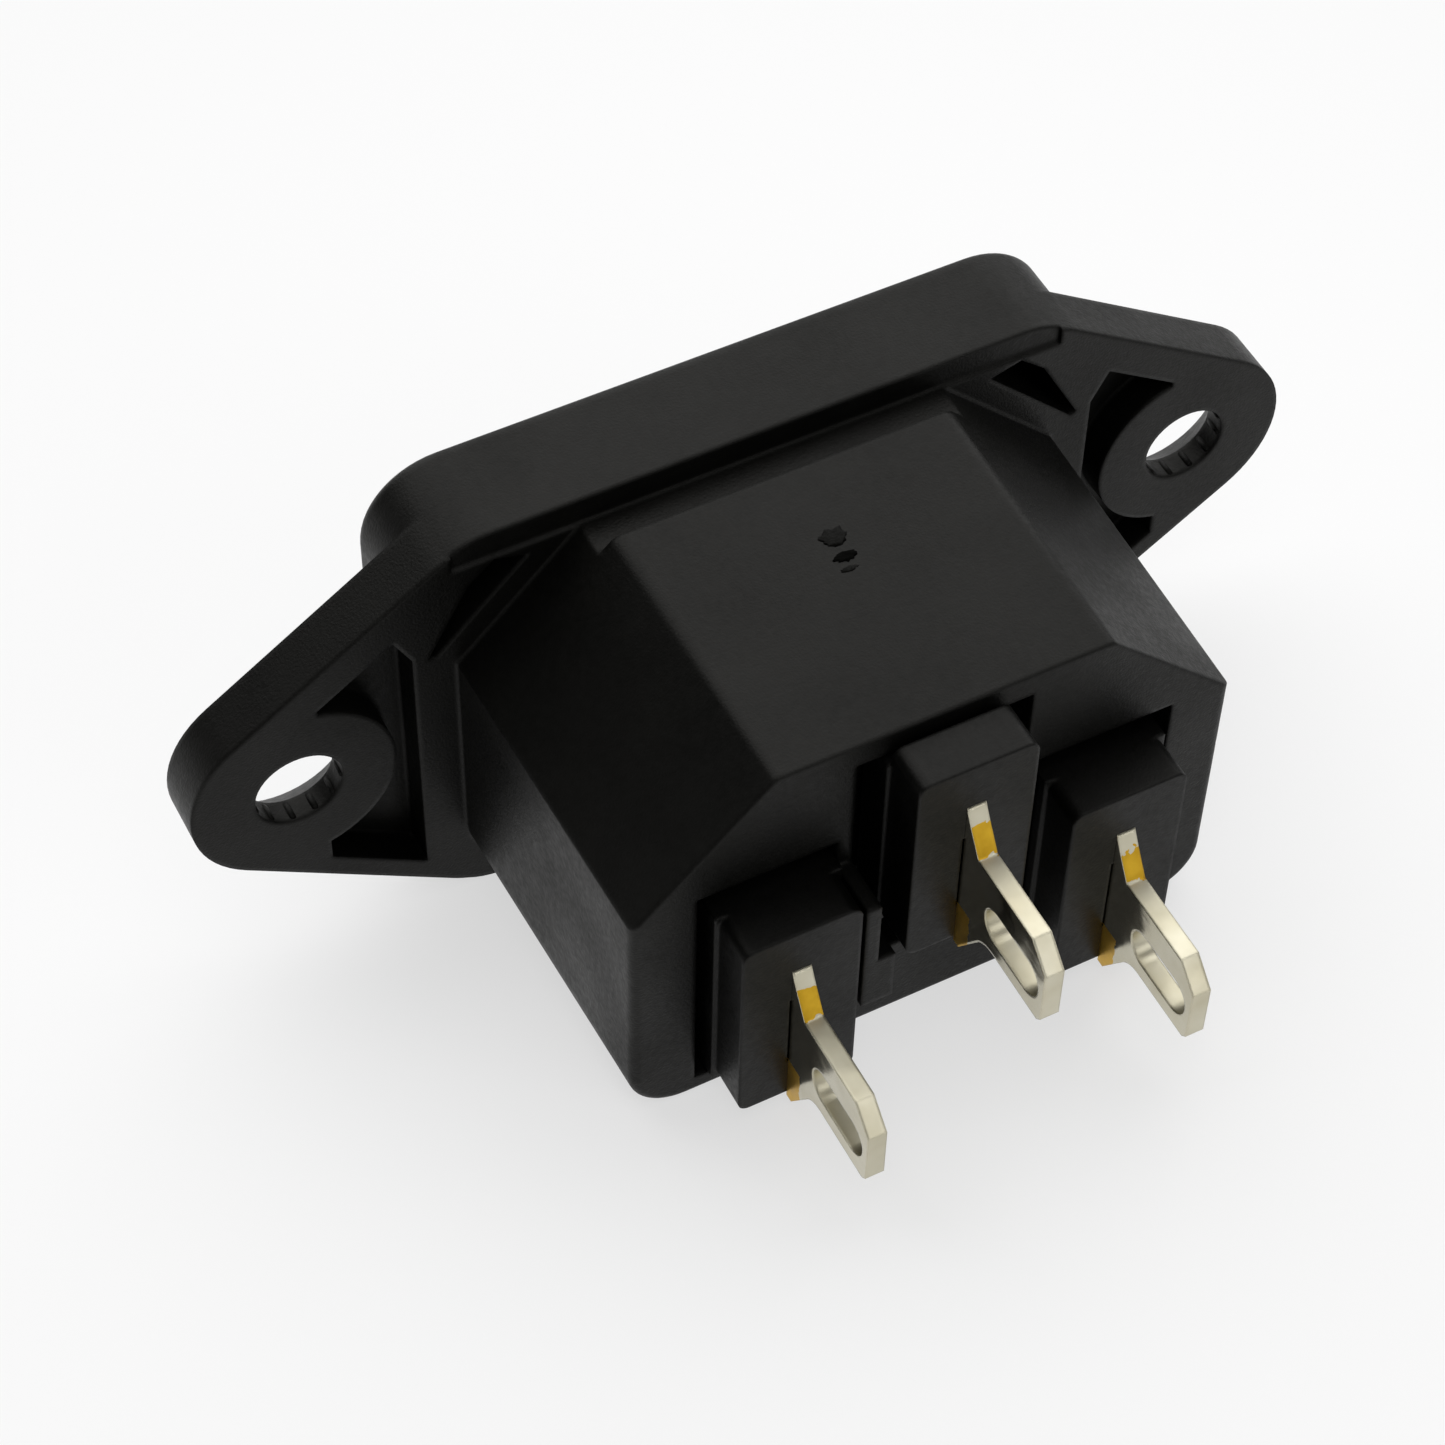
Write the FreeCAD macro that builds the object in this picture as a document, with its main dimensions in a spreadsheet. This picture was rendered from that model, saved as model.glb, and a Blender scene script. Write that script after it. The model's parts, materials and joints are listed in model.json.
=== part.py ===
"""Power inlet socket: a panel inlet with three flat pins in front and three solder lugs behind.

X runs along the flange from ear to ear, Y along the pins with the lugs towards +Y, and Z is up,
with the chamfered side of the body on top. The origin is midway between the two screw holes, in
the back face of the flange, which is the face that lies on the panel. Sizes are in millimetres.
"""
import math
import os

import FreeCAD, Part
import Sketcher

SIZES = [
    ("hole_pitch", 40.0, "between the two screw holes"),
    ("hole_width", 3.7, "screw hole"),
    ("sink_width", 6.3, "mouth of the countersink"),
    ("ear_radius", 4.5, "round end of each ear, about its hole"),
    ("ear_slope", 34.3, "slope of the ear's sides, degrees"),
    ("ear_thick", 2.4, "thickness of the ears"),
    ("flange_high", 20.9, "height of the flange"),
    ("flange_round", 5.0, "rounding where the ears leave the long sides"),
    ("bezel_gap", 5.05, "from a screw hole's middle to the raised bezel's side"),
    ("bezel_round", 3.45, "corners of the bezel"),
    ("bezel_deep", 5.05, "its front face, ahead of the panel face"),
    ("bezel_soft", 0.6, "its front edge"),
    ("frame_side", 2.75, "bezel's frame at each side of the recess"),
    ("frame_top", 1.75, "bezel's frame above the recess"),
    ("frame_low", 2.65, "bezel's frame below it"),
    ("recess_bevel", 5.4, "legs of the recess's two upper bevels"),
    ("recess_round", 1.2, "its lower corners"),
    ("recess_deep", 16.5, "its depth from the bezel's front face"),
    ("wall_side", 0.95, "body's side walls, at the flange"),
    ("wall_top", 1.2, "body's top wall, at the flange"),
    ("wall_low", 1.13, "body's bottom wall, at the flange"),
    ("bevel_more", 0.6, "legs of the body's bevels beyond the recess's"),
    ("body_soft", 0.8, "rounding between the body's top and its bevels"),
    ("body_round", 2.65, "rounding of the lower long edges"),
    ("body_end_round", 0.4, "rounding of the back end, at the sides and below"),
    ("body_draft", 1.35, "draft of the body's sides, degrees"),
    ("neck_long", 1.6, "relief groove across the body's top, behind the panel face"),
    ("neck_deep", 0.7, "depth of that groove"),
    ("neck_sink", 0.15, "how far the groove's front side is sunk in the flange"),
    ("floor_thick", 1.1, "wall between the recess and the block pockets"),
    ("pocket_deep", 1.7, "depth of the block pockets in the back end"),
    ("ear_pocket_up", 5.0, "height where the ear pocket's inner side starts to lean out"),
    ("ear_pocket_lean", 0.75, "how far it leans out"),
    ("ear_pocket_deep", 1.5, "depth of the ear pockets"),
    ("ear_rim_high", 1.6, "rim above the ear pocket"),
    ("ear_rim_low", 0.95, "rim below the ear pocket"),
    ("ear_pocket_in", 1.05, "ends of the pocket, towards the body from the hole"),
    ("boss_step", 0.4, "boss around a screw hole, inside the ear's round end"),
    ("shoulder", 1.15, "flat shoulder between the bevel and the corner pocket"),
    ("corner_rim", 1.35, "rim above the corner pocket"),
    ("corner_up", 0.75, "lower end of the corner pocket above the bevel's foot"),
    ("corner_wide", 1.4, "width of the corner pocket, square to the bevel"),
    ("corner_deep", 3.0, "depth of the corner pocket"),
    ("pin_pitch", 14.0, "between the line and neutral pins"),
    ("pin_rise", 4.0, "earth pin above the other two"),
    ("pin_thick", 2.0, "pin across X"),
    ("pin_high", 4.0, "pin across Z"),
    ("pin_bevel", 0.7, "edge of the pin's tip"),
    ("pin_back", 4.5, "line and neutral tips behind the bezel's face"),
    ("earth_pin_back", 2.0, "earth tip behind the bezel's face"),
    ("divider_thick", 0.6, "wall between the earth pocket and a side pocket"),
    ("divider_top", 2.75, "top of the divider's free part"),
    ("divider_low", 3.4, "lower end of its free part, below the hole line"),
    ("divider_step", 0.75, "extra thickness of the divider's foot, towards the earth block"),
    ("divider_step_top", 0.7, "top of that foot, below the hole line"),
    ("middle_gap", 1.05, "open gap at each side of the earth block's collar"),
    ("outer_gap", 0.5, "open gap outside the other two collars"),
    ("end_gap", 0.95, "open gap above those two"),
    ("low_gap", 0.3, "open gap below them"),
    ("earth_low_gap", 2.75, "open gap below the earth block's collar"),
    ("earth_top_gap", 0.2, "open gap above that collar, under the body's top wall"),
    ("block_high", 10.35, "height of an insulating block"),
    ("block_round", 0.5, "its upright edges"),
    ("block_drop", 0.4, "middle of a side block below its pin's middle"),
    ("earth_block_up", 1.5, "middle of the earth block above its pin's middle"),
    ("collar_lip", 0.15, "collar at the block's root, on each side"),
    ("collar_out", 0.5, "collar of a side block beyond the body's end"),
    ("block_out", 1.93, "side block beyond its collar"),
    ("earth_collar_out", 0.38, "collar of the earth block beyond the body's end"),
    ("earth_collar_drop", 0.9, "top of that collar below the block's top"),
    ("foot_inset", 0.5, "foot of the block inside the collar's outline"),
    ("foot_thick", 0.45, "thickness of the foot"),
    ("socket_deep", 0.6, "pin's root inside the block's foot"),
    ("fit_gap", 0.05, "clearance around the metal in its slots"),
    ("lug_thick", 0.8, "solder lug across X"),
    ("lug_high", 4.0, "width of the lug"),
    ("lug_long", 6.1, "lug beyond its block"),
    ("lug_drop", 1.4, "middle of a side lug below its pin's middle"),
    ("lug_rise", 0.48, "middle of the earth lug above its pin's middle"),
    ("lug_cut", 1.1, "cut upper corner of the lug's tip"),
    ("lug_nick", 0.25, "cut lower corner of the tip"),
    ("eye_long", 3.85, "long eyelet"),
    ("eye_wide", 1.8, "width of the eyelet"),
    ("eye_tip", 0.36, "metal beyond the eyelet"),
    ("eye_drop", 0.38, "eyelet's middle below the lug's middle"),
    ("root_up", 1.9, "root of the lug above its upper edge, at the block"),
    ("root_up_step", 1.15, "the same at the ramp's start"),
    ("root_up_flat", 0.4, "first part of the upper root"),
    ("root_up_long", 1.1, "upper root in all"),
    ("root_low", 2.4, "root of the lug below its lower edge"),
    ("root_low_flat", 0.37, "upright part of the lower root"),
    ("root_low_long", 1.95, "lower root in all"),
    ("root_low_round", 1.2, "hollow where the lower root meets the lug"),
]


class Term:
    """A number together with the expression that gives it from the sheet of sizes."""

    def __init__(self, value, text=None):
        self.value = value
        self.text = text or repr(value)

    def joined(self, other, sign, value):
        return Term(value, "(" + self.text + " " + sign + " " + other.text + ")")

    def __add__(self, other):
        other = as_term(other)
        return self.joined(other, "+", self.value + other.value)

    def __sub__(self, other):
        other = as_term(other)
        return self.joined(other, "-", self.value - other.value)

    def __mul__(self, other):
        other = as_term(other)
        return self.joined(other, "*", self.value * other.value)

    def __truediv__(self, other):
        other = as_term(other)
        return self.joined(other, "/", self.value / other.value)

    def __neg__(self):
        return Term(-self.value, "(0 - " + self.text + ")")


def as_term(number):
    return number if isinstance(number, Term) else Term(float(number))


def cosine(angle):
    return Term(math.cos(math.radians(angle.value)), "cos(" + angle.text + ")")


def tangent(angle):
    return Term(math.tan(math.radians(angle.value)), "tan(" + angle.text + ")")


doc = FreeCAD.newDocument("inlet")
sheet = doc.addObject("Spreadsheet::Sheet", "Sizes")
size = {}
for row, (alias, number, meaning) in enumerate(SIZES, start=1):
    sheet.set("A%d" % row, meaning)
    sheet.set("B%d" % row, str(number))
    sheet.setAlias("B%d" % row, alias)
    size[alias] = Term(number, "Sizes." + alias)
doc.recompute()

ZERO = Term(0.0)


def bind(target, name, term):
    """Set a property from the sheet."""
    target.setExpression(name, term.text)


def new_body(name):
    body = doc.addObject("PartDesign::Body", name)
    body.Label = name
    return body


def new_sketch(body, name, plane, offset):
    """Empty sketch parallel to an origin plane; offset is measured along Y or X."""
    sketch = body.newObject("Sketcher::SketchObject", name)
    support = [item for item in body.Origin.OriginFeatures if item.Role == plane][0]
    sketch.AttachmentSupport = [(support, "")]
    sketch.MapMode = "FlatFace"
    along = -offset if plane == "XZ_Plane" else offset
    bind(sketch, "AttachmentOffset.Base.z", along)
    return sketch


def fix(sketch, kind, where, term):
    """Add one constraint whose value comes from the sheet."""
    index = sketch.addConstraint(Sketcher.Constraint(kind, *where, term.value))
    name = "c%d" % index
    sketch.renameConstraint(index, name)
    bind(sketch, "Constraints." + name, term)


def fix_point(sketch, geometry, end, across, up):
    fix(sketch, "DistanceX", (-1, 1, geometry, end), across)
    fix(sketch, "DistanceY", (-1, 1, geometry, end), up)


def corner_ends(before, corner, after, radius):
    """Start and end of the rounding of a corner, and its middle."""
    to_before = (before - corner).normalize()
    to_after = (after - corner).normalize()
    half = to_before.getAngle(to_after) / 2.0
    reach = radius / math.tan(half)
    inward = (to_before + to_after).normalize()
    middle = corner + inward * (radius / math.sin(half))
    return corner + to_before * reach, corner + to_after * reach, middle


def draw_outline(sketch, corners):
    """Closed outline through corners (across, up, radius); a radius of None leaves one sharp."""
    count = len(corners)
    spots = [FreeCAD.Vector(across.value, up.value, 0) for across, up, _ in corners]
    ends = []
    for index, (_, _, radius) in enumerate(corners):
        spot = spots[index]
        if radius is None:
            ends.append((spot, spot, None))
        else:
            before, after = spots[index - 1], spots[(index + 1) % count]
            ends.append(corner_ends(before, spot, after, radius.value))
    first = sketch.GeometryCount
    for index in range(count):
        line = Part.LineSegment(ends[index][1], ends[(index + 1) % count][0])
        sketch.addGeometry(line, False)
    for index, (across, up, radius) in enumerate(corners):
        came, leaves = first + (index - 1) % count, first + index
        if radius is None:
            sketch.addConstraint(Sketcher.Constraint("Coincident", came, 2, leaves, 1))
            fix_point(sketch, leaves, 1, across, up)
            continue
        start, stop, middle = ends[index]
        turn = (spots[index] - spots[index - 1]).cross(spots[(index + 1) % count] - spots[index]).z
        left = turn > 0
        low, high = (start, stop) if left else (stop, start)
        circle = Part.Circle(middle, FreeCAD.Vector(0, 0, 1), radius.value)
        arc = Part.ArcOfCircle(circle, circle.parameter(low), circle.parameter(high))
        arc_index = sketch.addGeometry(arc, False)
        arc_in, arc_out = (1, 2) if left else (2, 1)
        sketch.addConstraint(Sketcher.Constraint("Tangent", came, 2, arc_index, arc_in))
        sketch.addConstraint(Sketcher.Constraint("Tangent", arc_index, arc_out, leaves, 1))
        fix(sketch, "Radius", (arc_index,), radius)
        point = sketch.addGeometry(Part.Point(spots[index]), True)
        sketch.addConstraint(Sketcher.Constraint("PointOnObject", point, 1, came))
        sketch.addConstraint(Sketcher.Constraint("PointOnObject", point, 1, leaves))
        fix_point(sketch, point, 1, across, up)


def draw_circle(sketch, across, up, radius):
    centre = FreeCAD.Vector(across.value, up.value, 0)
    circle = Part.Circle(centre, FreeCAD.Vector(0, 0, 1), radius.value)
    index = sketch.addGeometry(circle, False)
    fix(sketch, "Radius", (index,), radius)
    fix_point(sketch, index, 3, across, up)


def box_corners(low, high, bottom, top, radius=None):
    """Corners of a rectangle, all of one radius."""
    spots = ((low, bottom), (high, bottom), (high, top), (low, top))
    return [(across, up, radius) for across, up in spots]


def mirrored(corners):
    return [(-across, up, radius) for across, up, radius in reversed(corners)]


def outline(body, name, loops, offset=ZERO, plane="XZ_Plane"):
    sketch = new_sketch(body, name, plane, offset)
    for corners in loops:
        draw_outline(sketch, corners)
    return sketch


def add(body, sketch, length, backwards=True, draft=None):
    """Pad a sketch, towards +Y unless told otherwise."""
    pad = body.newObject("PartDesign::Pad", sketch.Name + "_pad")
    pad.Profile = sketch
    bind(pad, "Length", length)
    pad.Reversed = backwards
    if draft is not None:
        bind(pad, "TaperAngle", draft)
    doc.recompute()
    return pad


def cut(body, sketch, length, backwards):
    """Pocket a sketch towards +Y or towards -Y."""
    pocket = body.newObject("PartDesign::Pocket", sketch.Name + "_cut")
    pocket.Profile = sketch
    bind(pocket, "Length", length)
    pocket.Reversed = not backwards
    doc.recompute()
    return pocket


def edges_where(feature, test):
    """Names of the edges whose ends and middle pass a test."""
    names = []
    for index, edge in enumerate(feature.Shape.Edges, start=1):
        middle = edge.valueAt((edge.FirstParameter + edge.LastParameter) / 2.0)
        spots = [vertex.Point for vertex in edge.Vertexes] + [middle]
        if all(test(spot) for spot in spots):
            names.append("Edge%d" % index)
    return names


def dress(body, kind, base, names, property_name, term):
    """Fillet or chamfer on named edges of the last feature."""
    feature = body.newObject("PartDesign::" + kind, body.Name + "_" + base.Name + kind)
    feature.Base = (base, names)
    bind(feature, property_name, term)
    doc.recompute()
    return feature


def near(number, goal, reach=0.02):
    return abs(number - goal) < reach


# Places shared by several pieces
hole_x = size["hole_pitch"] / 2
half_flange = size["flange_high"] / 2
slope = size["ear_slope"]
half_bezel = hole_x - size["bezel_gap"]
half_recess = half_bezel - size["frame_side"]
recess_top = half_flange - size["frame_top"]
recess_low = size["frame_low"] - half_flange
recess_middle = (recess_top + recess_low) / 2
half_body = half_recess + size["wall_side"]
body_top = recess_top + size["wall_top"]
body_bottom = recess_low - size["wall_low"]
bevel = size["recess_bevel"] + size["bevel_more"]
bevel_foot = body_top - bevel
recess_floor = size["recess_deep"] - size["bezel_deep"]
pocket_floor = recess_floor + size["floor_thick"]
body_end = pocket_floor + size["pocket_deep"]
collar_end = body_end + size["collar_out"]
block_end = collar_end + size["block_out"]
pin_side = size["pin_pitch"] / 2
pin_low = recess_middle - size["pin_rise"] / 2
pin_top = recess_middle + size["pin_rise"] / 2
side_block = pin_low - size["block_drop"]
earth_block = pin_top + size["earth_block_up"]
side_lug = pin_low - size["lug_drop"]
earth_lug = pin_top + size["lug_rise"]
root_end = pocket_floor + size["socket_deep"]
half_collar = (pin_side - size["fit_gap"] - size["divider_thick"] - size["middle_gap"]) / 2
half_collar_high = size["block_high"] / 2 + size["collar_lip"]
side_collar_top = side_block + size["block_high"] / 2
earth_collar_top = earth_block + size["block_high"] / 2 - size["earth_collar_drop"]
earth_collar_end = body_end + size["earth_collar_out"]
divider_out = pin_side - half_collar - size["fit_gap"]
divider_in = divider_out - size["divider_thick"]


def ear_side(across, inset):
    """Height of the ear's side line, moved inwards by inset."""
    return (size["ear_radius"] - inset) / cosine(slope) + (hole_x - across) * tangent(slope)


def pin_slot(across, up, gap):
    """Section of a pin, grown by a gap."""
    half_x = size["pin_thick"] / 2 + gap
    half_z = size["pin_high"] / 2 + gap
    return box_corners(across - half_x, across + half_x, up - half_z, up + half_z)


# The housing
housing = new_body("housing")

corner_x = hole_x - (half_flange - size["ear_radius"] / cosine(slope)) / tangent(slope)
tip_x = hole_x + size["ear_radius"] / cosine(Term(90.0) - slope)
flange_corners = [
    (corner_x, -half_flange, size["flange_round"]),
    (tip_x, ZERO, size["ear_radius"]),
    (corner_x, half_flange, size["flange_round"]),
    (-corner_x, half_flange, size["flange_round"]),
    (-tip_x, ZERO, size["ear_radius"]),
    (-corner_x, -half_flange, size["flange_round"]),
]
add(housing, outline(housing, "ears", [flange_corners]), size["ear_thick"], backwards=False)

bezel_corners = box_corners(-half_bezel, half_bezel, -half_flange, half_flange, size["bezel_round"])
bezel = add(housing, outline(housing, "bezel", [bezel_corners]), size["bezel_deep"], backwards=False)
front = -size["bezel_deep"].value
front_edges = edges_where(bezel, lambda spot: near(spot.y, front))
dress(housing, "Fillet", bezel, front_edges, "Radius", size["bezel_soft"])

body_corners = [
    (-half_body, body_bottom, size["body_round"]),
    (half_body, body_bottom, size["body_round"]),
    (half_body, bevel_foot, None),
    (half_body - bevel, body_top, size["body_soft"]),
    (-half_body + bevel, body_top, size["body_soft"]),
    (-half_body, bevel_foot, None),
]
body_sketch = outline(housing, "barrel", [body_corners])
barrel = add(housing, body_sketch, body_end, draft=-size["body_draft"])
low_end = bevel_foot.value + 0.5
end_edges = edges_where(barrel, lambda spot: near(spot.y, body_end.value) and spot.z < low_end)
dress(housing, "Fillet", barrel, end_edges, "Radius", size["body_end_round"])

recess_corners = [
    (-half_recess, recess_low, size["recess_round"]),
    (half_recess, recess_low, size["recess_round"]),
    (half_recess, recess_top - size["recess_bevel"], None),
    (half_recess - size["recess_bevel"], recess_top, None),
    (-half_recess + size["recess_bevel"], recess_top, None),
    (-half_recess, recess_top - size["recess_bevel"], None),
]
recess_sketch = outline(housing, "recess", [recess_corners], -size["bezel_deep"])
cut(housing, recess_sketch, size["recess_deep"], backwards=True)

pocket_lean = half_bezel + size["ear_pocket_lean"]
pocket_end = hole_x - size["ear_pocket_in"]
ear_pocket = [
    (half_bezel, -ear_side(half_bezel, size["ear_rim_low"]), None),
    (pocket_end, -ear_side(pocket_end, size["ear_rim_low"]), None),
    (pocket_end, ear_side(pocket_end, size["ear_rim_high"]), None),
    (pocket_lean, ear_side(pocket_lean, size["ear_rim_high"]), None),
    (half_bezel, size["ear_pocket_up"], None),
]
pocket_sketch = outline(housing, "ear_pockets", [ear_pocket, mirrored(ear_pocket)])
cut(housing, pocket_sketch, size["ear_pocket_deep"], backwards=False)

boss_sketch = new_sketch(housing, "bosses", "XZ_Plane", -size["ear_pocket_deep"])
for across in (hole_x, -hole_x):
    draw_circle(boss_sketch, across, ZERO, size["ear_radius"] - size["boss_step"])
add(housing, boss_sketch, size["ear_pocket_deep"])

shoulder_sum = half_body + bevel_foot + size["shoulder"] * math.sqrt(2.0)
corner_top = half_flange - size["corner_rim"]
corner_low = bevel_foot + size["corner_up"]
wide = size["corner_wide"]
corner_pocket = [
    (shoulder_sum - corner_low, corner_low, None),
    (shoulder_sum - corner_low + wide * 0.2, corner_low + wide * 0.1, None),
    (shoulder_sum - corner_top + wide * 2.1, corner_top - wide * 0.7, None),
    (shoulder_sum - corner_top + wide * 1.3, corner_top, None),
    (shoulder_sum - corner_top + wide * 0.3, corner_top - wide * 0.3, None),
]
corner_sketch = outline(housing, "corner_pockets", [corner_pocket, mirrored(corner_pocket)])
cut(housing, corner_sketch, size["corner_deep"], backwards=False)

hole_sketch = new_sketch(housing, "screw_holes", "XZ_Plane", ZERO)
for across in (hole_x, -hole_x):
    draw_circle(hole_sketch, across, ZERO, size["hole_width"] / 2)
holes = cut(housing, hole_sketch, size["ear_thick"], backwards=False)
ear_front = -size["ear_thick"].value
hole_reach = size["hole_width"].value / 2.0 + 0.02


def on_hole_mouth(spot):
    from_hole = math.hypot(abs(spot.x) - hole_x.value, spot.z)
    return near(spot.y, ear_front) and from_hole < hole_reach


mouths = edges_where(holes, on_hole_mouth)
sink = dress(housing, "Chamfer", holes, mouths, "Size", (size["sink_width"] - size["hole_width"]) / 2)

neck = box_corners(-half_body, half_body, body_top - size["neck_deep"], half_flange)
neck_sketch = outline(housing, "neck", [neck], -size["neck_sink"])
cut(housing, neck_sketch, size["neck_sink"] + size["neck_long"], backwards=True)

side_pocket = box_corners(
    divider_out,
    pin_side + half_collar + size["outer_gap"],
    side_block - half_collar_high - size["low_gap"],
    side_collar_top + size["end_gap"],
)
earth_pocket = box_corners(
    -divider_in,
    divider_in,
    earth_block - half_collar_high - size["earth_low_gap"],
    earth_collar_top + size["earth_top_gap"],
)
pockets = [side_pocket, mirrored(side_pocket), earth_pocket]
back_sketch = outline(housing, "block_pockets", pockets, body_end)
cut(housing, back_sketch, size["pocket_deep"], backwards=False)

slots = [
    pin_slot(-pin_side, pin_low, size["fit_gap"]),
    pin_slot(pin_side, pin_low, size["fit_gap"]),
    pin_slot(ZERO, pin_top, size["fit_gap"]),
]
slot_sketch = outline(housing, "pin_slots", slots, recess_floor)
cut(housing, slot_sketch, size["floor_thick"], backwards=True)

divider = box_corners(divider_in, divider_out, -size["divider_low"], size["divider_top"])
divider_sketch = outline(housing, "divider", [divider], pocket_floor)
add(housing, divider_sketch, block_end - pocket_floor)
foot_in = divider_in - size["divider_step"]
divider_foot = box_corners(foot_in, divider_out, -size["divider_low"], -size["divider_step_top"])
foot_sketch = outline(housing, "divider_foot", [divider_foot], pocket_floor)
add(housing, foot_sketch, block_end - pocket_floor)


def make_carrier(name, across, block_up, collar_top, collar_back, pin_up, lug_up):
    """Insulating block with a collar and a foot, slotted for its contact."""
    body = new_body(name)
    half_block = half_collar - size["collar_lip"]
    half_high = size["block_high"] / 2
    inset = size["foot_inset"]
    foot = box_corners(
        across - half_collar + inset,
        across + half_collar - inset,
        block_up - half_collar_high + inset,
        collar_top - inset,
    )
    collar = box_corners(
        across - half_collar,
        across + half_collar,
        block_up - half_collar_high,
        collar_top,
    )
    block = box_corners(
        across - half_block,
        across + half_block,
        block_up - half_high,
        block_up + half_high,
        size["block_round"],
    )
    foot_top = pocket_floor + size["foot_thick"]
    add(body, outline(body, name + "_foot", [foot], pocket_floor), size["foot_thick"])
    collar_sketch = outline(body, name + "_collar", [collar], foot_top)
    add(body, collar_sketch, collar_back - foot_top)
    block_sketch = outline(body, name + "_block", [block], collar_back)
    add(body, block_sketch, block_end - collar_back)
    socket = pin_slot(across, pin_up, size["fit_gap"])
    socket_sketch = outline(body, name + "_socket", [socket], pocket_floor)
    cut(body, socket_sketch, size["socket_deep"], backwards=True)
    half_slot = size["lug_thick"] / 2 + size["fit_gap"]
    half_slot_high = size["lug_high"] / 2 + size["fit_gap"]
    slot = box_corners(
        across - half_slot,
        across + half_slot,
        lug_up - half_slot_high,
        lug_up + half_slot_high,
    )
    lug_slot = outline(body, name + "_slot", [slot], block_end)
    cut(body, lug_slot, block_end - pocket_floor, backwards=False)
    return body


def make_contact(name, across, pin_up, lug_up, pin_back):
    """Flat pin in front and solder lug behind, in one piece."""
    body = new_body(name)
    tip = pin_back - size["bezel_deep"]
    pin_sketch = outline(body, name + "_pin", [pin_slot(across, pin_up, ZERO)], tip)
    pin = add(body, pin_sketch, root_end - tip)
    tip_edges = edges_where(pin, lambda spot: near(spot.y, tip.value))
    dress(body, "Chamfer", pin, tip_edges, "Size", size["pin_bevel"])
    half_high = size["lug_high"] / 2
    top = lug_up + half_high
    bottom = lug_up - half_high
    end = block_end + size["lug_long"]
    profile = [
        (root_end, bottom, None),
        (block_end, bottom, None),
        (block_end, bottom - size["root_low"], None),
        (block_end + size["root_low_flat"], bottom - size["root_low"], None),
        (block_end + size["root_low_long"], bottom, size["root_low_round"]),
        (end - size["lug_nick"], bottom, None),
        (end, bottom + size["lug_nick"], None),
        (end, top - size["lug_cut"], None),
        (end - size["lug_cut"], top, None),
        (block_end + size["root_up_long"], top, None),
        (block_end + size["root_up_flat"], top + size["root_up_step"], None),
        (block_end, top + size["root_up"], None),
        (block_end, top, None),
        (root_end, top, None),
    ]
    eye_end = end - size["eye_tip"]
    eye_up = lug_up - size["eye_drop"]
    eye_radius = size["eye_wide"] / 2
    eye = box_corners(
        eye_end - size["eye_long"],
        eye_end,
        eye_up - eye_radius,
        eye_up + eye_radius,
        eye_radius * 0.98,
    )
    start = across - size["lug_thick"] / 2
    lug_sketch = outline(body, name + "_lug", [profile, eye], start, plane="YZ_Plane")
    add(body, lug_sketch, size["lug_thick"], backwards=False)
    return body


side_heights = (side_block, side_collar_top, collar_end, pin_low, side_lug)
earth_heights = (earth_block, earth_collar_top, earth_collar_end, pin_top, earth_lug)
carriers = [
    make_carrier("line_carrier", -pin_side, *side_heights),
    make_carrier("neutral_carrier", pin_side, *side_heights),
    make_carrier("earth_carrier", ZERO, *earth_heights),
]
contacts = [
    make_contact("line_contact", -pin_side, pin_low, side_lug, size["pin_back"]),
    make_contact("neutral_contact", pin_side, pin_low, side_lug, size["pin_back"]),
    make_contact("earth_contact", ZERO, pin_top, earth_lug, size["earth_pin_back"]),
]
nodes = [housing] + carriers + contacts

doc.recompute()
for item in doc.Objects:
    if "Invalid" in item.State or "Error" in item.State:
        raise RuntimeError("the object " + item.Label + " did not rebuild")
for node in nodes:
    if node.Shape.isNull() or not node.Shape.isValid():
        raise RuntimeError("the piece " + node.Label + " has no valid shape")
    if len(node.Shape.Solids) != 1:
        raise RuntimeError("the piece " + node.Label + " is not one solid")

os.makedirs("parts", exist_ok=True)
for node in nodes:
    node.Shape.exportStep("parts/" + node.Label + ".step")
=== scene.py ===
"""Looks of the power inlet socket: materials, small moulding marks, floor, light and camera.

The CAD nodes stay where the frame puts them and only get materials. Fine ribs in the screw holes and
the torn mark of the mould's gate are added as small meshes that ride with the inlet.
"""
import json
import math

import bmesh
import bpy
from mathutils import Matrix, Vector, noise as field


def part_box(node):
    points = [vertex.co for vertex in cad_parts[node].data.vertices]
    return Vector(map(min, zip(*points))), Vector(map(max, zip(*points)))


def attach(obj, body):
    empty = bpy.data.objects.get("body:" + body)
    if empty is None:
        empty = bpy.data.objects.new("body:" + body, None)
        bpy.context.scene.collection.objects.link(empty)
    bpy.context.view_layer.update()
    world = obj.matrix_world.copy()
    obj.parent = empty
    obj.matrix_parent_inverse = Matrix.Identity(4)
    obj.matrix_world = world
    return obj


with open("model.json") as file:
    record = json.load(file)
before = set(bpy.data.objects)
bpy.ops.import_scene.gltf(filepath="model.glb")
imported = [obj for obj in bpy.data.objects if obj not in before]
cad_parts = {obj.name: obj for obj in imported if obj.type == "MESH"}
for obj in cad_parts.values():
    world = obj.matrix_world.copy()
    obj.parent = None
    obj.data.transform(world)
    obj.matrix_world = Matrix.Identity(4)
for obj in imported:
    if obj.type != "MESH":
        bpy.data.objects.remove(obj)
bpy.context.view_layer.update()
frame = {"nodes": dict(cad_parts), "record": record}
nodes = frame["nodes"]
scene = bpy.context.scene
MM = 0.001

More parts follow.
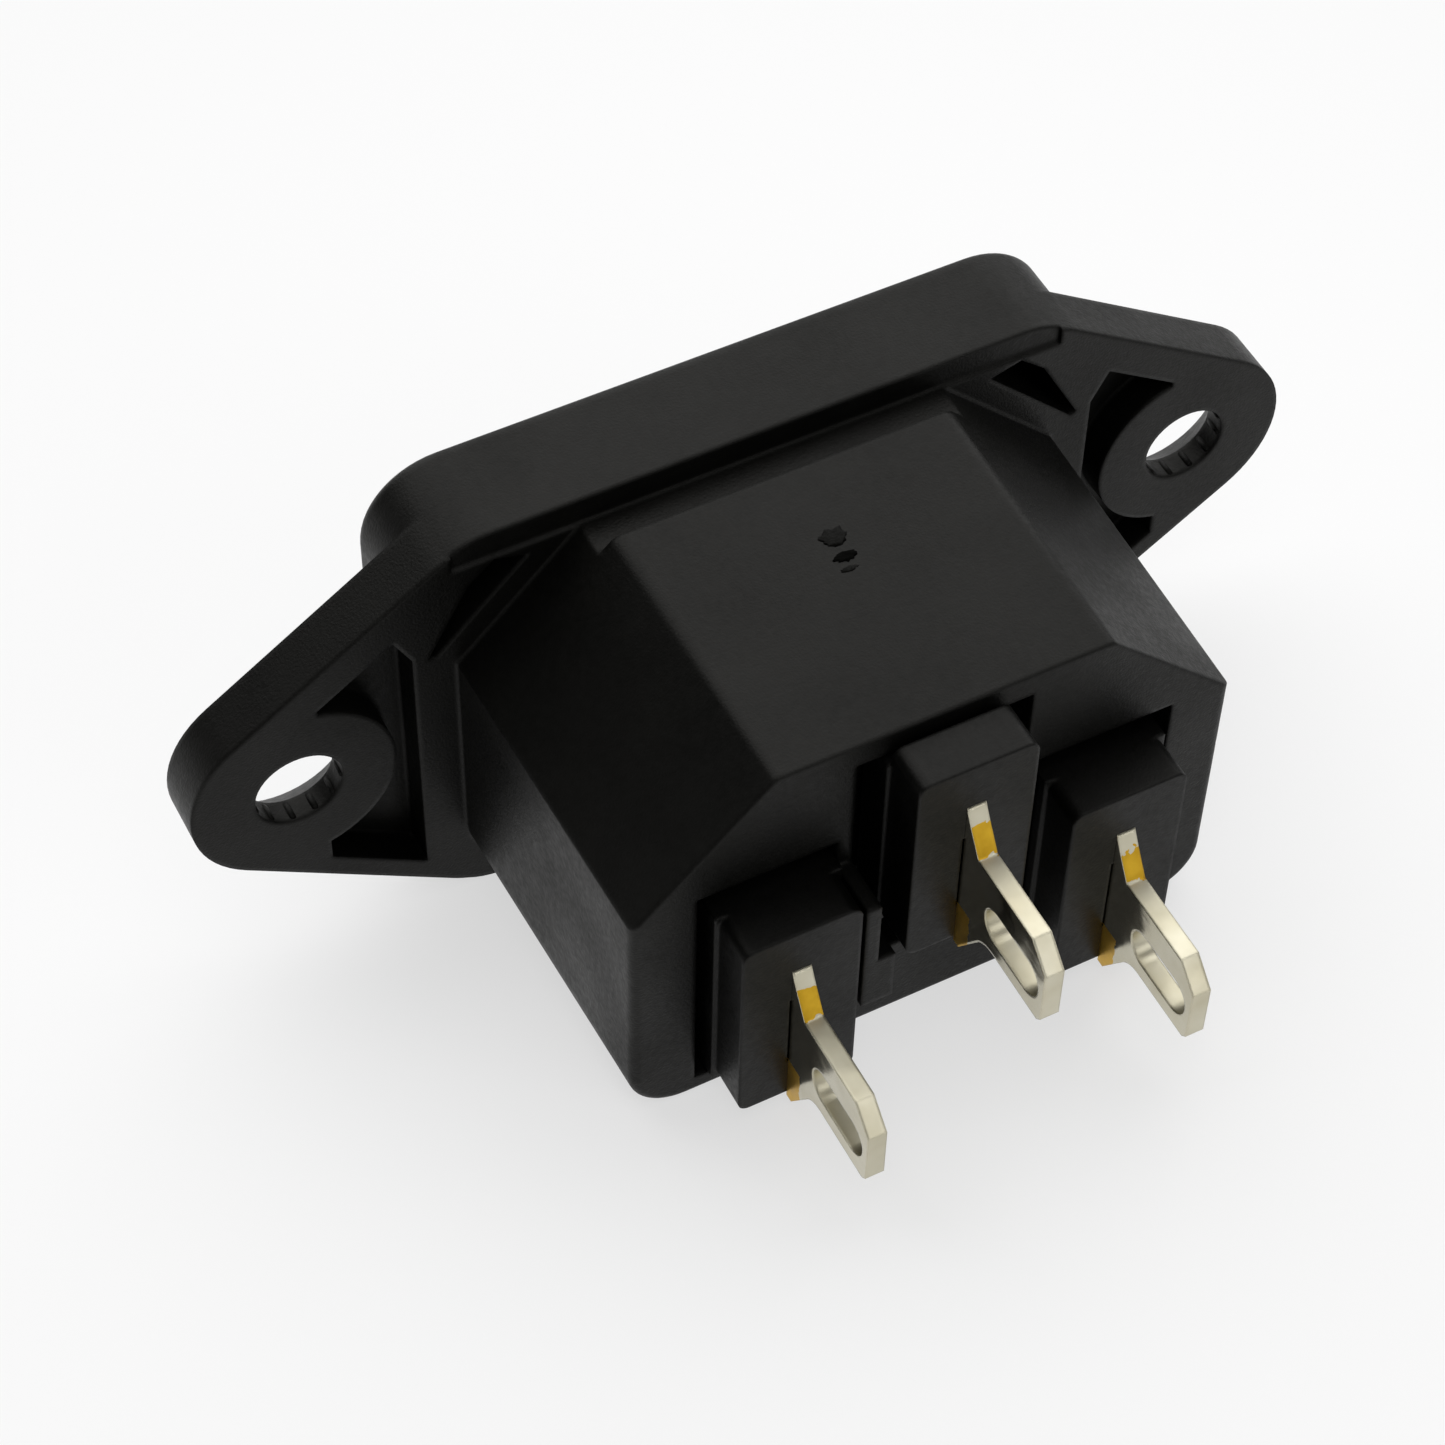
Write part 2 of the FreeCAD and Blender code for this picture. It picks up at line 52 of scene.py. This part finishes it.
# Camera: looks down on the back of the inlet as it lies, from its upper left
IMAGE_PX = 1445.0
FOCAL_PX = 3856.7
SENSOR_MM = 36.0
CAMERA_AZIMUTH = math.radians(151.5045)
CAMERA_HEIGHT = math.radians(51.7318)
CAMERA_ROLL = math.radians(1.3426)
CAMERA_PLACE_MM = (48.546, 86.604, 118.535)
CAMERA_NEAR_M = 0.01

# Places on the inlet, in millimetres
EAR_THICK = 2.4
SINK_DEPTH = 1.3
BODY_LOW_EDGE = (14.25, -8.59)
BODY_TOP = 9.9
BODY_DRAFT = math.radians(1.35)
LUG_HALF = 2.0
ROOT_BELOW = 2.4
ROOT_FLAT = 0.4
ROOT_RAMP = 1.12
BARB_BELOW_MIDDLE = 1.9
BARB_REACH = 0.95

# Ribs in the screw holes, in millimetres; each station is a place along the hole and a share of the height
RIB_COUNT = 12
RIB_TURN = 0.35
RIB_HALF_WIDE = 0.15
RIB_HIGH = 0.13
RIB_SUNK = 0.04
RIB_ARC_STEPS = 8
RIB_FRONT_GAP = 0.02
RIB_FRONT = SINK_DEPTH - EAR_THICK + RIB_FRONT_GAP
RIB_BACK = -0.08
RIB_STATIONS = (
    (RIB_FRONT, 0.2),
    (RIB_FRONT * 0.75, 0.9),
    (RIB_FRONT * 0.5, 1.0),
    (RIB_BACK * 3.0, 0.9),
    (RIB_BACK, 0.2),
)

# Gate mark on the body's top: rings from foot to top, each a share of the width and of the height
GATE_POINTS = 24
GATE_RINGS = ((1.0, -0.05), (0.97, 0.3), (0.85, 0.8), (0.6, 1.0), (0.25, 0.75))
GATE_RAGGED = 0.6
GATE_RAGGED_CELLS = 2.6
GATE_UNEVEN = 0.5
GATE_UNEVEN_CELLS = 2.5

# Black plastic: colours, gloss, and cells per metre of each noise
HOUSING_COLOUR = (0.0024, 0.0024, 0.0020)
BLOCK_COLOUR = (0.0016, 0.0016, 0.0014)
GLOSS_LEVEL = 0.145
GLOSS_TINT = (1.0, 0.985, 0.94, 1.0)
SHADE_SPREAD = 0.3
PATCH_CELLS = 260.0
SLOW_GLOSS_CELLS = 180.0
SLOW_GLOSS_SPREAD = 0.06
FINE_GLOSS_CELLS = 3500.0
FINE_GLOSS_SPREAD = 0.05
SINK_WAVE_CELLS = 120.0
SINK_WAVE_STRENGTH = 0.25
GRAIN_CELLS = 9000.0
GRAIN_MM = 0.05

# Plated metal: colours, roughness, and cells per metre of each noise
NICKEL_COLOURS = ((0.52, 0.48, 0.35), (0.62, 0.59, 0.47))
NICKEL_CELLS = 420.0
BRASS_COLOURS = ((0.52, 0.30, 0.02), (0.70, 0.43, 0.035))
BRASS_CELLS = 900.0
POLISH_ROUGHNESS = (0.10, 0.20)
POLISH_CELLS = 700.0
CUT_EXTRA_ROUGHNESS = 0.24
METAL_EDGE_MM = 0.16
METAL_WAVE_CELLS = 380.0
METAL_WAVE_MM = 0.12
METAL_WAVE_STRENGTH = 0.5
SCUFF_CELLS = 2600.0
SCUFF_STRETCH = (1.0, 0.25, 1.0)
SCUFF_MM = 0.02
SCUFF_STRENGTH = 0.12
RAGGED_CELLS = 1600.0
RAGGED_MM = 0.12
SIDE_FACING = 0.5

# Noise of all materials: it lies mostly between the low and the high value
NOISE_LOW = 0.3
NOISE_HIGH = 0.7
NOISE_ROUGHNESS = 0.55
FULL_DETAIL = 3.0
SOFT_DETAIL = 2.0
NO_STRETCH = (1.0, 1.0, 1.0)
EDGE_SAMPLES = 6

# Floor: size in metres, how white it is, and how much of the plain white shows near and far
FLOOR_HALF = 5.0
FLOOR_WHITE = 0.94
FLOOR_COLOUR = (FLOOR_WHITE, FLOOR_WHITE, FLOOR_WHITE, 1.0)
FLOOR_ROUGHNESS = 0.9
FLOOR_SHARE = 0.66
FADE_START = 0.025
FADE_END = 0.1

# Lamps and sky: places and sizes in metres, power in watts, sky level where 1 is white
SKY_LEVEL = 0.12
SKY_COLOUR = (1.0, 1.0, 1.0, 1.0)
LAMP_AIM = (0.0, 0.008, 0.0)
KEY_PLACE = (-0.12, -0.31, 0.36)
KEY_SIZE = (1.1, 0.8)
KEY_POWER = 5.3
TOP_PLACE = (0.08, 0.20, 0.50)
TOP_SIZE = (0.3, 0.3)
TOP_POWER = 0.42
FILL_PLACE = (-0.18, 0.47, 0.33)
FILL_SIZE = (0.4, 0.3)
FILL_POWER = 0.7

# Sockets of a colour mix node that share a name with others
MIX_COLOUR_A = 6
MIX_COLOUR_B = 7
MIX_COLOUR_OUT = 2


# Camera

def make_camera():
    """The photograph's camera, placed by its azimuth, height angle and roll."""
    towards = Vector((
        math.sin(CAMERA_AZIMUTH) * math.cos(CAMERA_HEIGHT),
        -math.cos(CAMERA_AZIMUTH) * math.cos(CAMERA_HEIGHT),
        math.sin(CAMERA_HEIGHT),
    ))
    level = Vector((math.cos(CAMERA_AZIMUTH), math.sin(CAMERA_AZIMUTH), 0.0))
    upright = towards.cross(level)
    right = level * math.cos(CAMERA_ROLL) + upright * math.sin(CAMERA_ROLL)
    up = upright * math.cos(CAMERA_ROLL) - level * math.sin(CAMERA_ROLL)
    data = bpy.data.cameras.new("camera")
    data.sensor_width = SENSOR_MM
    data.lens = SENSOR_MM * FOCAL_PX / IMAGE_PX
    data.clip_start = CAMERA_NEAR_M
    camera = bpy.data.objects.new("camera", data)
    turn = Matrix((right, up, towards)).transposed()
    camera.matrix_world = Matrix.Translation(Vector(CAMERA_PLACE_MM) * MM) @ turn.to_4x4()
    scene.collection.objects.link(camera)
    scene.camera = camera


# Building blocks of the materials

def new_material(name):
    """New material with its node tree and its main shader."""
    material = bpy.data.materials.new(name)
    material.use_nodes = True
    tree = material.node_tree
    return material, tree, tree.nodes["Principled BSDF"]


def add_node(tree, kind, **values):
    """Add a node and set its named properties."""
    node = tree.nodes.new(kind)
    for name, value in values.items():
        setattr(node, name, value)
    return node


def math_node(tree, operation, first, second, clamp=False):
    """Join two inputs, each a socket or a plain number, by one operation."""
    node = add_node(tree, "ShaderNodeMath", operation=operation, use_clamp=clamp)
    for socket, value in zip(node.inputs, (first, second)):
        if isinstance(value, (int, float)):
            socket.default_value = value
        else:
            tree.links.new(value, socket)
    return node.outputs["Value"]


def noise(tree, cells, detail=FULL_DETAIL, stretch=NO_STRETCH):
    """Noise over the object's own coordinates, with so many cells per metre."""
    place = add_node(tree, "ShaderNodeTexCoord")
    mapping = add_node(tree, "ShaderNodeMapping")
    mapping.inputs["Scale"].default_value = stretch
    grain = add_node(tree, "ShaderNodeTexNoise")
    grain.inputs["Scale"].default_value = cells
    grain.inputs["Detail"].default_value = detail
    grain.inputs["Roughness"].default_value = NOISE_ROUGHNESS
    tree.links.new(place.outputs["Object"], mapping.inputs["Vector"])
    tree.links.new(mapping.outputs["Vector"], grain.inputs["Vector"])
    return grain.outputs["Fac"]


def noise_colour(tree, cells, low, high):
    """Colour that wanders between two shades."""
    node = add_node(tree, "ShaderNodeValToRGB")
    for item, place, colour in zip(node.color_ramp.elements, (NOISE_LOW, NOISE_HIGH), (low, high)):
        item.position = place
        item.color = (*colour, 1.0)
    tree.links.new(noise(tree, cells), node.inputs["Fac"])
    return node.outputs["Color"]


def map_range(tree, source, start, stop, low, high):
    """Map a value that runs from start to stop onto low to high."""
    node = add_node(tree, "ShaderNodeMapRange")
    node.inputs["From Min"].default_value = start
    node.inputs["From Max"].default_value = stop
    node.inputs["To Min"].default_value = low
    node.inputs["To Max"].default_value = high
    tree.links.new(source, node.inputs["Value"])
    return node.outputs["Result"]


def noise_value(tree, source, low, high):
    """Value that wanders between two limits with the given noise."""
    return map_range(tree, source, NOISE_LOW, NOISE_HIGH, low, high)


def soft_edges(tree, radius_mm):
    """Normal that rounds the edges of the mesh for the light only."""
    edge = add_node(tree, "ShaderNodeBevel", samples=EDGE_SAMPLES)
    edge.inputs["Radius"].default_value = radius_mm * MM
    return edge.outputs["Normal"]


def bump(tree, height, distance_mm, strength, normal):
    """Lay a fine relief over a normal."""
    node = add_node(tree, "ShaderNodeBump")
    node.inputs["Strength"].default_value = strength
    node.inputs["Distance"].default_value = distance_mm * MM
    tree.links.new(height, node.inputs["Height"])
    tree.links.new(normal, node.inputs["Normal"])
    return node.outputs["Normal"]


# Materials of the inlet

def black_plastic(name, colour, roughness, edge_mm, grain_strength, gloss=GLOSS_LEVEL):
    """Moulded black plastic: fine matt grain, slow waves of gloss and soft edges."""
    material, tree, shader = new_material(name)
    low = tuple(part * (1.0 - SHADE_SPREAD) for part in colour)
    high = tuple(part * (1.0 + SHADE_SPREAD) for part in colour)
    tree.links.new(noise_colour(tree, PATCH_CELLS, low, high), shader.inputs["Base Color"])
    shader.inputs["Specular IOR Level"].default_value = gloss
    shader.inputs["Specular Tint"].default_value = GLOSS_TINT
    slow_noise = noise(tree, SLOW_GLOSS_CELLS, SOFT_DETAIL)
    slow = noise_value(tree, slow_noise, roughness - SLOW_GLOSS_SPREAD, roughness + SLOW_GLOSS_SPREAD)
    fine_noise = noise(tree, FINE_GLOSS_CELLS, SOFT_DETAIL)
    fine = noise_value(tree, fine_noise, -FINE_GLOSS_SPREAD, FINE_GLOSS_SPREAD)
    tree.links.new(math_node(tree, "ADD", slow, fine), shader.inputs["Roughness"])
    wave_noise = noise(tree, SINK_WAVE_CELLS, SOFT_DETAIL)
    waves = bump(tree, wave_noise, GRAIN_MM, SINK_WAVE_STRENGTH, soft_edges(tree, edge_mm))
    grain_noise = noise(tree, GRAIN_CELLS, SOFT_DETAIL)
    grain = bump(tree, grain_noise, GRAIN_MM, grain_strength, waves)
    tree.links.new(grain, shader.inputs["Normal"])
    return material


def cut_edges(tree):
    """One on the sheared narrow edges of a contact, nought on its broad faces."""
    geometry = add_node(tree, "ShaderNodeNewGeometry")
    facing = add_node(tree, "ShaderNodeSeparateXYZ")
    tree.links.new(geometry.outputs["True Normal"], facing.inputs["Vector"])
    sideways = math_node(tree, "ABSOLUTE", facing.outputs["X"], 0.0)
    return math_node(tree, "LESS_THAN", sideways, SIDE_FACING)


def root_mask(tree, node_name, edges):
    """One on the ramp of a lug's upper root and on its lower barb, where the brass shows."""
    lug_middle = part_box(node_name)[0][2] + (ROOT_BELOW + LUG_HALF) * MM
    block_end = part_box("housing")[1][1]
    place = add_node(tree, "ShaderNodeTexCoord")
    split = add_node(tree, "ShaderNodeSeparateXYZ")
    tree.links.new(place.outputs["Object"], split.inputs["Vector"])
    depth = split.outputs["Y"]
    height = split.outputs["Z"]
    ragged = noise_value(tree, noise(tree, RAGGED_CELLS), -RAGGED_MM * MM, RAGGED_MM * MM)
    past_block = math_node(tree, "SUBTRACT", depth, block_end)
    along = math_node(tree, "ADD", past_block, ragged)
    above = math_node(tree, "GREATER_THAN", height, lug_middle)
    past_flat = math_node(tree, "GREATER_THAN", along, ROOT_FLAT * MM)
    before_end = math_node(tree, "LESS_THAN", along, ROOT_RAMP * MM)
    upper = math_node(tree, "MULTIPLY", math_node(tree, "MULTIPLY", past_flat, before_end), above)
    below = math_node(tree, "LESS_THAN", height, lug_middle - BARB_BELOW_MIDDLE * MM)
    behind = math_node(tree, "GREATER_THAN", depth, block_end - BARB_REACH * MM)
    within = math_node(tree, "LESS_THAN", along, BARB_REACH * MM)
    lower = math_node(tree, "MULTIPLY", below, math_node(tree, "MULTIPLY", behind, within))
    return math_node(tree, "ADD", math_node(tree, "MULTIPLY", upper, edges), lower, clamp=True)


def plated_metal(name, node_name):
    """Nickel plating, polished on the broad faces, matt on sheared edges, brass at the roots."""
    material, tree, shader = new_material(name)
    shader.inputs["Metallic"].default_value = 1.0
    edges = cut_edges(tree)
    roots = root_mask(tree, node_name, edges)
    blend = add_node(tree, "ShaderNodeMix", data_type="RGBA")
    tree.links.new(roots, blend.inputs["Factor"])
    tree.links.new(noise_colour(tree, NICKEL_CELLS, *NICKEL_COLOURS), blend.inputs[MIX_COLOUR_A])
    tree.links.new(noise_colour(tree, BRASS_CELLS, *BRASS_COLOURS), blend.inputs[MIX_COLOUR_B])
    tree.links.new(blend.outputs[MIX_COLOUR_OUT], shader.inputs["Base Color"])
    polished = noise_value(tree, noise(tree, POLISH_CELLS), *POLISH_ROUGHNESS)
    matt = math_node(tree, "MULTIPLY", math_node(tree, "MAXIMUM", edges, roots), CUT_EXTRA_ROUGHNESS)
    tree.links.new(math_node(tree, "ADD", polished, matt), shader.inputs["Roughness"])
    wave_noise = noise(tree, METAL_WAVE_CELLS, SOFT_DETAIL)
    waves = bump(tree, wave_noise, METAL_WAVE_MM, METAL_WAVE_STRENGTH, soft_edges(tree, METAL_EDGE_MM))
    scuff_noise = noise(tree, SCUFF_CELLS, SOFT_DETAIL, SCUFF_STRETCH)
    scuffs = bump(tree, scuff_noise, SCUFF_MM, SCUFF_STRENGTH, waves)
    tree.links.new(scuffs, shader.inputs["Normal"])
    return material


def dress_nodes(housing_black, block_black):
    """Give each CAD node its material."""
    for name, piece in nodes.items():
        piece.data.materials.clear()
        if name == "housing":
            piece.data.materials.append(housing_black)
        elif name.endswith("carrier"):
            piece.data.materials.append(block_black)
        else:
            piece.data.materials.append(plated_metal(name + "_plating", name))


# Small moulding marks

def new_piece(name, shape, material):
    """Turn a finished bmesh, in millimetres, into a piece that rides with the inlet."""
    bmesh.ops.scale(shape, vec=(MM, MM, MM), verts=shape.verts)
    bmesh.ops.recalc_face_normals(shape, faces=shape.faces)
    mesh = bpy.data.meshes.new(name)
    shape.to_mesh(mesh)
    shape.free()
    for face in mesh.polygons:
        face.use_smooth = True
    mesh.materials.append(material)
    piece = bpy.data.objects.new(name, mesh)
    scene.collection.objects.link(piece)
    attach(piece, "root")


def skin_rings(shape, rings):
    """Join closed rings of points into one closed form."""
    rows = [[shape.verts.new(point) for point in ring] for ring in rings]
    count = len(rows[0])
    for lower, upper in zip(rows, rows[1:]):
        for index in range(count):
            after = (index + 1) % count
            shape.faces.new((lower[index], lower[after], upper[after], upper[index]))
    shape.faces.new(rows[0])
    shape.faces.new(list(reversed(rows[-1])))


def rib_ring(middle, outward, across, hole_radius, share):
    """Half-round outline of a rib, with its foot sunk in the wall of the hole."""
    ring = []
    for step in range(RIB_ARC_STEPS + 1):
        turn = math.pi * step / RIB_ARC_STEPS
        sideways = RIB_HALF_WIDE * math.cos(turn)
        inwards = RIB_HIGH * share * math.sin(turn) - RIB_SUNK
        ring.append(middle + outward * (hole_radius - inwards) + across * sideways)
    return ring


def hole_ribs(name, hole_x, hole_radius, material):
    """Fine ribs along the wall of a screw hole, each tapered at both ends."""
    shape = bmesh.new()
    for index in range(RIB_COUNT):
        angle = 2.0 * math.pi * (index + RIB_TURN) / RIB_COUNT
        outward = Vector((math.cos(angle), 0.0, math.sin(angle)))
        across = Vector((-math.sin(angle), 0.0, math.cos(angle)))
        rings = []
        for along, share in RIB_STATIONS:
            middle = Vector((hole_x, along, 0.0))
            rings.append(rib_ring(middle, outward, across, hole_radius, share))
        skin_rings(shape, rings)
    new_piece(name, shape, material)


def gate_mark(name, material, middle, half_wide, half_deep, high, seed):
    """Small torn stub of the sprue on the body's top, with a ragged outline; all in millimetres."""
    shape = bmesh.new()
    rings = []
    for share, level in GATE_RINGS:
        ring = []
        for index in range(GATE_POINTS):
            angle = 2.0 * math.pi * index / GATE_POINTS
            direction = Vector((math.cos(angle), math.sin(angle), 0.0))
            outline = field.noise(direction * GATE_RAGGED_CELLS + Vector((seed, level, 0.0)))
            unevenness = field.noise(direction * GATE_UNEVEN_CELLS + Vector((0.0, seed, share)))
            ragged = 1.0 + GATE_RAGGED * outline
            lift = high * level * (1.0 + GATE_UNEVEN * unevenness)
            across = middle[0] + half_wide * share * ragged * direction.x
            along = middle[1] + half_deep * share * ragged * direction.y
            top = BODY_TOP - along * math.tan(BODY_DRAFT)
            ring.append(Vector((across, along, top + lift)))
        rings.append(ring)
    skin_rings(shape, rings)
    new_piece(name, shape, material)


# Floor, lamps and sky

def floor_material():
    """Pale sheet that keeps the shadow; seen or mirrored, part of it is plain white, far off all of it."""
    material, tree, shader = new_material("floor_white")
    shader.inputs["Base Color"].default_value = FLOOR_COLOUR
    shader.inputs["Roughness"].default_value = FLOOR_ROUGHNESS
    shader.inputs["Specular IOR Level"].default_value = 0.0
    plain = add_node(tree, "ShaderNodeEmission")
    plain.inputs["Color"].default_value = FLOOR_COLOUR
    rays = add_node(tree, "ShaderNodeLightPath")
    seen = math_node(tree, "ADD", rays.outputs["Is Camera Ray"], rays.outputs["Is Glossy Ray"])
    seen = math_node(tree, "ADD", seen, rays.outputs["Is Transmission Ray"], clamp=True)
    place = add_node(tree, "ShaderNodeTexCoord")
    distance = add_node(tree, "ShaderNodeVectorMath", operation="LENGTH")
    tree.links.new(place.outputs["Object"], distance.inputs[0])
    share = map_range(tree, distance.outputs["Value"], FADE_START, FADE_END, FLOOR_SHARE, 1.0)
    mix = add_node(tree, "ShaderNodeMixShader")
    tree.links.new(math_node(tree, "MULTIPLY", seen, share), mix.inputs["Fac"])
    tree.links.new(shader.outputs["BSDF"], mix.inputs[1])
    tree.links.new(plain.outputs["Emission"], mix.inputs[2])
    tree.links.new(mix.outputs["Shader"], tree.nodes["Material Output"].inputs["Surface"])
    return material


def make_floor():
    """Large pale sheet under the two edges that the inlet lies on."""
    flange_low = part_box("housing")[0][2]
    edge_y, edge_z = (part * MM for part in BODY_LOW_EDGE)
    slope = (edge_z - flange_low) / edge_y
    corners = []
    for side_x, side_y in ((-1, -1), (1, -1), (1, 1), (-1, 1)):
        x = side_x * FLOOR_HALF
        y = side_y * FLOOR_HALF
        corners.append((x, y, flange_low + y * slope))
    mesh = bpy.data.meshes.new("floor")
    mesh.from_pydata(corners, [], [(0, 1, 2, 3)])
    floor = bpy.data.objects.new("floor", mesh)
    floor.data.materials.append(floor_material())
    scene.collection.objects.link(floor)


def area_light(name, place, size, power):
    """Soft rectangular lamp that is turned towards the inlet."""
    data = bpy.data.lights.new(name, "AREA")
    data.shape = "RECTANGLE"
    data.size, data.size_y = size
    data.energy = power
    light = bpy.data.objects.new(name, data)
    light.location = place
    aim = Vector(LAMP_AIM) - Vector(place)
    light.rotation_euler = aim.to_track_quat("-Z", "Y").to_euler()
    scene.collection.objects.link(light)


def make_world():
    """Even white sky."""
    world = bpy.data.worlds.new("studio")
    world.use_nodes = True
    background = world.node_tree.nodes["Background"]
    background.inputs["Color"].default_value = SKY_COLOUR
    background.inputs["Strength"].default_value = SKY_LEVEL
    scene.world = world


# The scene

make_camera()
scene.view_settings.view_transform = "Standard"
housing_black = black_plastic(
    "housing_black", HOUSING_COLOUR, roughness=0.45, edge_mm=0.3, grain_strength=0.3
)
block_black = black_plastic(
    "block_black", BLOCK_COLOUR, roughness=0.42, edge_mm=0.2, grain_strength=0.2
)
dress_nodes(housing_black, block_black)

screws = next(mount for mount in frame["record"]["mounts"] if mount["name"] == "screw_holes")["dims"]
screw_x = screws["spacing_x_mm"] / 2.0
hole_ribs("hole_ribs_left", screw_x, screws["hole_r_mm"], housing_black)
hole_ribs("hole_ribs_right", -screw_x, screws["hole_r_mm"], housing_black)

gate_faint = black_plastic(
    "gate_faint", HOUSING_COLOUR, roughness=0.6, edge_mm=0.05, grain_strength=0.6, gloss=0.065
)
gate_dark = black_plastic(
    "gate_dark", BLOCK_COLOUR, roughness=0.8, edge_mm=0.05, grain_strength=0.6, gloss=0.02
)
gate_mark(
    "gate_mark_front", gate_faint, middle=(-0.15, 5.25), half_wide=0.5, half_deep=0.42, high=0.03, seed=1.3
)
gate_mark(
    "gate_mark_middle", gate_dark, middle=(-0.09, 6.25), half_wide=0.46, half_deep=0.24, high=0.05, seed=4.7
)
gate_mark(
    "gate_mark_back", gate_faint, middle=(0.06, 6.85), half_wide=0.34, half_deep=0.13, high=0.02, seed=7.9
)

make_floor()
area_light("key", KEY_PLACE, KEY_SIZE, KEY_POWER)
area_light("overhead", TOP_PLACE, TOP_SIZE, TOP_POWER)
area_light("fill", FILL_PLACE, FILL_SIZE, FILL_POWER)
make_world()
